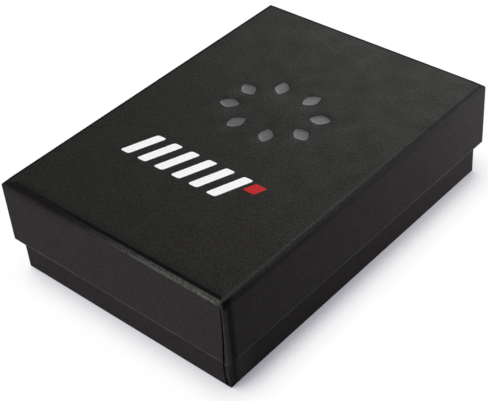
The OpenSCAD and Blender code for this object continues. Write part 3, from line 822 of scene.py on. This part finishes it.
    def rows(self):
        """The skin's section as (inset, down, zone), from the panel round the rim and back inside."""
        found = [(inset, 0.0, "panel") for inset in self.panel_insets if inset > self.edge_r + 0.1]
        for a in quarter(6):
            found.append((self.edge_r * (1 - math.sin(a)), self.edge_r * (1 - math.cos(a)), "edge"))
        end = self.height - RIM_R
        down = self.edge_r
        while down < end - 0.5:
            down += self.fine_row if down < self.fine_depth else self.coarse_row
            found.append((0.0, min(down, end - 0.3), "side"))
        for a in quarter(4):
            found.append((RIM_R * (1 - math.cos(a)), end + RIM_R * math.sin(a), "rim"))
        for a in quarter(4):
            found.append((WALL_T - RIM_R * (1 - math.sin(a)), end + RIM_R * math.cos(a), "rim"))
        turned = self.height - TURN_IN
        for k in range(1, 7):
            found.append((WALL_T, end + (turned - end) * k / 6, "inside"))
        back = WALL_T - PAPER_T
        foot = self.height - PAPER_T
        hidden = ((back, turned), (back, foot), (PAPER_T, foot), (PAPER_T, self.edge_r),
                  (self.edge_r, PAPER_T), (STRAIGHT_FROM, PAPER_T))
        return found + [(inset, down, "hidden") for inset, down in hidden]

    def point(self, column, inset, down, zone):
        """The vertex of one column and one row, with its relief and its paint."""
        if zone in ("panel", "edge", "side"):
            radius = self.edge_radius(column)
            inset, down = self.fitted(inset, radius), self.fitted(down, radius)
        x, y, z = self.place(column, inset, down)
        wear_and_highlight = painted_shade = 0.0
        if zone == "panel" and not self.flipped:
            # On the panel: the top's painted highlights and painted shade; the front crease also sinks
            # where its shade is painted
            wear_and_highlight, painted_shade = self.top_marks(column, -inset, x, y)
            z -= CREASE_SINK * painted_shade * (column[1] == 0)
        elif zone in ("edge", "side") or (zone == "rim" and inset < WALL_T / 2):
            sink, wear_and_highlight, painted_shade = self.relief(column, inset, down)
            nx, ny = self.outward(column)
            share = max(sink, 0.0) * ramp(down, 0.0, self.edge_r)
            x -= nx * share
            y -= ny * share
        return self.add(x, y, z, wear_and_highlight, painted_shade)

    def face_zone(self, here, there, upper, lower):
        """The zone of the face between two columns and two rows."""
        if upper[2] == "panel":
            return "edge" if upper[0] <= EDGE_STRIP[here[1]] else "panel"
        if lower[2] in ("side", "rim") and (self.in_slit(here) or self.in_slit(there)):
            return "slit"
        return lower[2]

    def build(self, marks, slots):
        """Makes the skin. slots gives the material index of each zone and kind of mark."""
        rows = self.rows()
        rings = [[self.point(column, *row) for column in self.columns] for row in rows]
        count = len(self.columns)
        for upper, lower, ring, next_ring in zip(rows, rows[1:], rings, rings[1:]):
            for k, j in loop_edges(0, count):
                face = self.bm.faces.new((ring[k], ring[j], next_ring[j], next_ring[k]))
                zone = self.face_zone(self.columns[k], self.columns[j], upper, lower)
                face.material_index = slots[zone]
        self.panel(rings[0], marks, slots)
        self.bm.faces.new(rings[-1]).material_index = slots["hidden"]

    def grid(self):
        """Points spread evenly over the panel's middle."""
        across, up = (h - self.grid_inset for h in self.half)
        columns, rows = self.grid_steps
        found = []
        for i in range(columns + 1):
            for j in range(rows + 1):
                found.append((-across + 2 * across * i / columns, -up + 2 * up * j / rows))
        return found

    def panel(self, ring, marks, slots):
        """Fills the panel inside its first ring, with the marks' outlines cut in and dents pressed."""
        border = [((v.co.x / MM) - self.middle[0], (v.co.y / MM) - self.middle[1]) for v in ring]
        points, edges = list(border), loop_edges(0, len(border))
        dents = [outline for kind, outline in marks if kind == "dent"]
        for kind, outline in marks:
            loops = [outline]
            if kind == "dent":
                loops = [shrunk(outline, share) for share in DENT_STEPS]
            for loop in loops:
                edges += loop_edges(len(points), len(loop))
                points += loop
        verts, faces = triangles(points + self.grid(), edges)
        made = []
        for p in verts:
            depth = max((dent_depth(p, outline) for outline in dents), default=0.0)
            on_ring = (v for v, b in zip(ring, border) if apart(b, p) < SAME_WITHIN)
            made.append(next(on_ring, None) or self.add(p[0], p[1], -depth))
        for face, middle in faces:
            corners = [made[i] for i in face]
            if len(set(corners)) < 3:
                continue
            kind = next((kind for kind, outline in marks if inside(middle, outline)), "panel")
            self.bm.faces.new(corners).material_index = slots[kind]


def add_lid_paper():
    """The lid's leather-grain paper with its print."""
    low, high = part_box("lid_wrap")
    tray = Tray(low, high, False)
    slots = {"panel": 0, "edge": 1, "side": 1, "rim": 1, "inside": 1, "hidden": 1, "slit": 5,
             "white": 2, "red": 3, "dent": 4}
    tray.build(lid_print(), slots)
    materials = [TOP_PAPER, SIDE_PAPER, WHITE_INK, RED_INK, GREY_INK, SLIT_SHADE]
    piece = finish_mesh(tray.bm, "lid_paper", "lid", materials)
    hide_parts("lid_wrap")
    return piece


def add_base_paper():
    """The base's paper, walls and sole in one skin."""
    low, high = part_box("base_wrap")
    low.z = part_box("base_sole")[0].z
    tray = Tray(low, high, True)
    slots = {zone: 0 for zone in ("panel", "edge", "side", "rim", "inside", "hidden")}
    tray.build([], {**slots, "slit": 1})
    piece = finish_mesh(tray.bm, "base_paper_skin", "base", [BASE_PAPER, SLIT_SHADE])
    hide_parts("base_wrap", "base_sole")
    return piece


# ---------- the insert ----------

def deck_window():
    """The window in the deck: the well's outline, with a round notch for a thumb at each side."""
    low, high = (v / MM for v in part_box("foam_pad"))
    x, y = high.x + WELL_GAP, high.y + WELL_GAP
    notch = [math.radians(-90 + 12 * k) for k in range(16)]
    right = [(x + NOTCH_R * math.cos(a), NOTCH_R * math.sin(a)) for a in notch]
    right = [(x, -y), *right, (x, y)]
    return right + [(-px, -py) for px, py in right]


class FoldedDeck:
    """The insert's card: a deck with a window and four skirts folded down, mitred at the corners."""

    def __init__(self, low, high):
        self.high = high / MM
        self.half = self.high[0], self.high[1]
        self.height = (high.z - low.z) / MM
        self.bm = bmesh.new()
        self.made = {}

    def vertex(self, x, y, down):
        """A vertex at a point, made once."""
        key = (round(x, 3), round(y, 3), round(down, 3))
        if key not in self.made:
            self.made[key] = self.bm.verts.new((x * MM, y * MM, (self.high[2] - down) * MM))
        return self.made[key]

    def rows(self, radius):
        """The section of one face of the card, (inset, down), from the deck over the fold and down."""
        found = [(FOLD_R + 0.6, FOLD_R - radius)]
        for a in quarter(6):
            found.append((FOLD_R - radius * math.sin(a), FOLD_R - radius * math.cos(a)))
        for k in range(1, 5):
            found.append((FOLD_R - radius, FOLD_R + (self.height - FOLD_R) * k / 4))
        return found

    def at(self, side, share, inset, down):
        """A point of a skirt; share runs from -1 to 1 along it."""
        slit = SKIRT_SLIT * clamp((FOLD_R - inset) / (0.5 * FOLD_R))
        bow = SKIRT_BOW * ramp(down, FOLD_R, self.height) * (1 - share * share)
        along = share * (self.half[side % 2] - inset - slit)
        out = self.half[1 - side % 2] - inset - bow
        return self.vertex(*on_side(side, along, out), down)

    def build(self):
        """Makes the card: its folds and skirts, both faces of the deck, and the window's cut edge."""
        shares = [-1 + k / 6 for k in range(13)]
        outer, inner = self.rows(FOLD_R), self.rows(FOLD_R - CARD_T)
        for side in range(4):
            self.skirt(side, outer + inner[::-1], shares)
        for row in (outer[0], inner[0]):
            self.sheet(row, shares)
        window = deck_window()
        for (ax, ay), (bx, by) in zip(window, window[1:] + window[:1]):
            corners = ((ax, ay, 0), (bx, by, 0), (bx, by, CARD_T), (ax, ay, CARD_T))
            self.bm.faces.new([self.vertex(*corner) for corner in corners])
        return self.bm

    def skirt(self, side, section, shares):
        """One skirt: its faces round the section, and the cut edge at its ends."""
        lines = [[self.at(side, share, *row) for share in shares] for row in section]
        for upper, lower in zip(lines, lines[1:]):
            for k in range(len(shares) - 1):
                self.bm.faces.new((upper[k], upper[k + 1], lower[k + 1], lower[k]))
        for end in (0, -1):
            edge = [line[end] for line in lines]
            for k in range(1, len(section) // 2 - 1):
                self.bm.faces.new((edge[k], edge[k + 1], edge[-k - 2], edge[-k - 1]))

    def sheet(self, row, shares):
        """One face of the deck between its window and the folds."""
        ring = [self.at(side, share, *row) for side in range(4) for share in shares[:-1]]
        border = [(v.co.x / MM, v.co.y / MM) for v in ring]
        window = deck_window()
        edges = loop_edges(0, len(border)) + loop_edges(len(border), len(window))
        verts, faces = triangles(border + window, edges)
        for face, middle in faces:
            if not inside(middle, window):
                self.bm.faces.new([self.vertex(verts[i][0], verts[i][1], row[1]) for i in face])


def add_insert_card():
    """The card deck that holds the lighter's well."""
    deck = FoldedDeck(*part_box("platform_card"))
    piece = finish_mesh(deck.build(), "insert_card", "insert", [BLACK_CARD])
    piece.data.set_sharp_from_angle(angle=math.radians(40))
    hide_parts("platform_card")


# ---------- soft pieces ----------

def add_soft(node, name, body, slot, shape):
    """A soft piece in the space of its CAD solid: edges rounded off and the skin dimpled inwards."""
    voxel, rounds, dimple, size = shape
    rough = bpy.data.objects.new(name, frame["nodes"][node].data.copy())
    bpy.context.scene.collection.objects.link(rough)
    remesh = rough.modifiers.new("remesh", "REMESH")
    remesh.mode = "VOXEL"
    remesh.voxel_size = voxel * MM
    remeshed = rough.evaluated_get(bpy.context.evaluated_depsgraph_get())
    shaped = bpy.data.meshes.new_from_object(remeshed)
    bpy.data.objects.remove(rough)
    bm = bmesh.new()
    bm.from_mesh(shaped)
    every_axis = {"use_axis_x": True, "use_axis_y": True, "use_axis_z": True}
    for _ in range(rounds):
        bmesh.ops.smooth_vert(bm, verts=bm.verts, factor=0.5, **every_axis)
    bm.normal_update()
    for v in bm.verts:
        x, y, z = v.co / MM
        v.co -= v.normal * dimple * MM * (0.5 + 0.5 * wave(x, y, z, size, 2.0))
    piece = finish_mesh(bm, name, body, [SLOT_MATERIALS[slot]])
    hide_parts(node)
    return piece


# ---------- CAD nodes that stay ----------

SLOT_MATERIALS = {
    "grey_board": GREY_BOARD,
    "black_liner_paper": LINER_PAPER,
    "black_card": BLACK_CARD,
    "foam": FOAM,
    "leaflet_paper": LEAFLET_PAPER,
    "brushed_case": CASE_METAL,
    "hinge_steel": HINGE_METAL,
    "inner_steel": INNER_METAL,
    "cam_steel": HINGE_METAL,
    "rivet_steel": RIVET_METAL,
    "spring_steel": SPRING_METAL,
    "wheel_steel": WHEEL_METAL,
    "brass": BRASS,
    "flint_metal": FLINT_METAL,
    "wick_cotton": WICK_COTTON,
    "packing_rayon": WADDING,
    "felt": FELT,
}


def dress_nodes():
    """Gives every CAD node that stays the material of its slot in the record."""
    for part in frame["record"]["subparts"]:
        material = SLOT_MATERIALS.get(part["material_slot"])
        if material:
            mesh = frame["nodes"][part["node"]].data
            mesh.materials.clear()
            mesh.materials.append(material)


# ---------- floor, light and camera ----------

def floor_shadow(n):
    """How strongly the box's soft shadow shows on the floor, from 0 to 1."""
    tilt = n.node("ShaderNodeCombineXYZ")
    for socket, value in zip(tilt.inputs, Vector(SHADOW_LEAN).normalized()):
        socket.default_value = value
    near = n.node("ShaderNodeAmbientOcclusion", samples=8)
    near.inputs["Distance"].default_value = SHADOW_REACH_MM * MM
    n.link(tilt.outputs[0], near.inputs["Normal"])
    strength = n.math("POWER", n.spread(near.outputs["AO"], *SHADOW_RANGE), SHADOW_FALL)
    place = n.node("ShaderNodeTexCoord").outputs["Object"]
    for axis, span, levels in SHADOW_FADES:
        strength = n.math("MULTIPLY", strength, n.spread(n.along(place, axis), *span, *levels))
    return strength


def floor_material():
    """Paper to the light that falls on it, and white with the soft shadow to the eye."""
    material = bpy.data.materials.new("floor")
    n = Nodes(material)
    paper = n.node("ShaderNodeBsdfDiffuse")
    n.feed(paper.inputs["Color"], FLOOR_COLOUR)
    lit = n.math("SUBTRACT", 1.0, floor_shadow(n))
    tint = n.node("ShaderNodeCombineColor")
    for socket, exponent in zip(tint.inputs, SHADOW_TINT):
        n.link(n.math("POWER", lit, exponent), socket)
    glow = n.node("ShaderNodeEmission")
    n.link(tint.outputs[0], glow.inputs["Color"])
    rays = n.node("ShaderNodeLightPath").outputs
    seen = n.math("MAXIMUM", rays["Is Camera Ray"], rays["Is Glossy Ray"])
    seen = n.math("MAXIMUM", seen, rays["Is Transmission Ray"])
    out = n.node("ShaderNodeOutputMaterial")
    n.link(n.blend(seen, paper.outputs[0], glow.outputs[0]), out.inputs["Surface"])
    return material


def add_floor():
    """A white floor: light falls on it as on paper, and the eye sees the box's soft shadow on it."""
    bm = bmesh.new()
    bmesh.ops.create_grid(bm, x_segments=1, y_segments=1, size=FLOOR_HALF_SIZE)
    mesh = bpy.data.meshes.new("floor")
    bm.to_mesh(mesh)
    bm.free()
    floor = bpy.data.objects.new("floor", mesh)
    bpy.context.scene.collection.objects.link(floor)
    floor.location.z = FLOOR_RISE_MM * MM
    mesh.materials.append(floor_material())


def add_world():
    """A room that looks white to the eye, and that gives less light from its dark side."""
    world = bpy.data.worlds.new("studio")
    bpy.context.scene.world = world
    n = Nodes(world)
    seen = n.node("ShaderNodeBackground")
    n.feed(seen.inputs["Color"], (1.0, 1.0, 1.0))
    light = n.node("ShaderNodeBackground")
    n.feed(light.inputs["Color"], ROOM_COLOUR)
    toward = n.node("ShaderNodeTexCoord").outputs["Generated"]
    n.link(n.spread(n.along(toward, ROOM_DARK_SIDE), *ROOM_LEVELS), light.inputs["Strength"])
    eye = n.node("ShaderNodeLightPath").outputs["Is Camera Ray"]
    out = n.node("ShaderNodeOutputWorld")
    n.link(n.blend(eye, light.outputs[0], seen.outputs[0]), out.inputs["Surface"])


def add_lamp(name, azimuth, elevation, distance, size, power):
    """A soft square lamp that faces the box from a direction."""
    back = direction(azimuth, elevation)
    data = bpy.data.lights.new(name, "AREA")
    data.shape = "SQUARE"
    data.size = size
    data.energy = power
    lamp = bpy.data.objects.new(name, data)
    lamp.location = back * distance
    lamp.rotation_euler = back.to_track_quat("Z", "Y").to_euler()
    bpy.context.scene.collection.objects.link(lamp)


def add_camera():
    """The photograph's view of the box."""
    back = direction(VIEW_AZIMUTH, VIEW_ELEVATION)
    right = Vector((0, 0, 1)).cross(back).normalized()
    up = back.cross(right)
    r = math.radians(VIEW_ROLL)
    right, up = right * math.cos(r) + up * math.sin(r), up * math.cos(r) - right * math.sin(r)
    low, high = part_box("lid_wrap")
    width = high[0] - low[0]
    data = bpy.data.cameras.new("camera")
    data.sensor_width = SENSOR_MM
    data.lens = LENS_MM
    data.clip_start, data.clip_end = VIEW_CLIP
    camera = bpy.data.objects.new("camera", data)
    place = width * (right * VIEW_ASIDE + up * VIEW_ABOVE + back * VIEW_DISTANCE)
    turn = Matrix((right, up, back)).transposed().to_4x4()
    camera.matrix_world = Matrix.Translation(place) @ turn
    bpy.context.scene.collection.objects.link(camera)
    bpy.context.scene.camera = camera


bpy.context.scene.view_settings.view_transform = "Standard"
add_camera()
add_world()
for lamp in LAMPS:
    add_lamp(*lamp)
add_floor()
add_lid_paper()
add_base_paper()
dress_nodes()
add_insert_card()
foam = add_soft("foam_pad", "foam_sheet", "insert", "foam", FOAM_SHAPE)
wadding = add_soft("packing", "wadding", "lighter", "packing_rayon", WADDING_SHAPE)
felt = add_soft("felt_pad", "felt_sheet", "lighter", "felt", FELT_SHAPE)
add_soft("wick", "wick_strands", "lighter", "wick_cotton", WICK_SHAPE)
